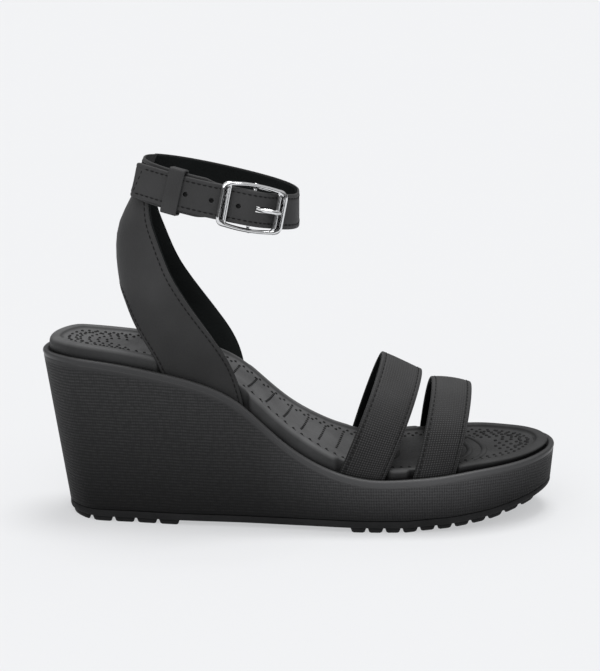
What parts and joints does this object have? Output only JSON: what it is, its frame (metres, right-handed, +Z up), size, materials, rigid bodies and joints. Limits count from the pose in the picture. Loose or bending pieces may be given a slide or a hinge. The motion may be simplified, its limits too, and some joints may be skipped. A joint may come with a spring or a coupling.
{
  "type": "wedge sandal",
  "caption": "Open-toe wedge sandal for the right foot with two straps over the foot, a heel quarter and a buckled ankle strap.",
  "frame": {"origin": "on the ground under the middle of the sandal's bounding box", "axes": "+X towards the toe, +Y towards the medial side, +Z up"},
  "size_m": [0.2496, 0.0902, 0.1747],
  "materials": {
    "outsole_rubber": "matt moulded rubber",
    "moulded_wedge": "matt, moulded with a fine woven texture",
    "foam": "soft closed-cell foam",
    "fibre_board": "pressed fibre board",
    "shank_steel": "plain spring steel",
    "footbed_foam": "matt, with moulded nubs and ridges",
    "strap_leather": "smooth matt synthetic leather",
    "lining_cloth": "close brushed cloth",
    "buckle_metal": "polished"
  },
  "bodies": {
    "sandal": {"outsole": "outsole_rubber", "wedge_shell": "moulded_wedge", "wedge_core": "foam", "insole_board": "fibre_board", "steel_shank": "shank_steel", "shank_rivet_rear": "shank_steel", "shank_rivet_front": "shank_steel", "footbed": "footbed_foam", "toe_strap_outer": "strap_leather", "toe_strap_padding": "foam", "toe_strap_lining": "lining_cloth", "instep_strap_outer": "strap_leather", "instep_strap_padding": "foam", "instep_strap_lining": "lining_cloth", "quarter_outer": "strap_leather", "quarter_padding": "foam", "quarter_lining": "lining_cloth", "ankle_strap_outer": "strap_leather", "ankle_strap_lining": "lining_cloth", "buckle_strap": "strap_leather"},
    "buckle": {"buckle_frame": "buckle_metal"},
    "prong": {"buckle_prong": "buckle_metal"},
    "keeper": {"keeper_loop": "strap_leather"}
  },
  "joints": [
    {"name": "buckle_tilt", "type": "hinge", "parent": "sandal", "child": "buckle", "pos_m": [-0.02267, -0.02753, 0.15382], "axis": [0.1882, 0.103, 0.9767], "range_deg": [-1, 2]},
    {"name": "prong_lift", "type": "hinge", "parent": "buckle", "child": "prong", "pos_m": [-0.02267, -0.02753, 0.15382], "axis": [-0.1882, -0.103, -0.9767], "range_deg": [0, 8]},
    {"name": "keeper_slide", "type": "slide", "parent": "sandal", "child": "keeper", "axis": [0.9433, -0.256, -0.2112], "range_m": [0, 0.004]}
  ]
}
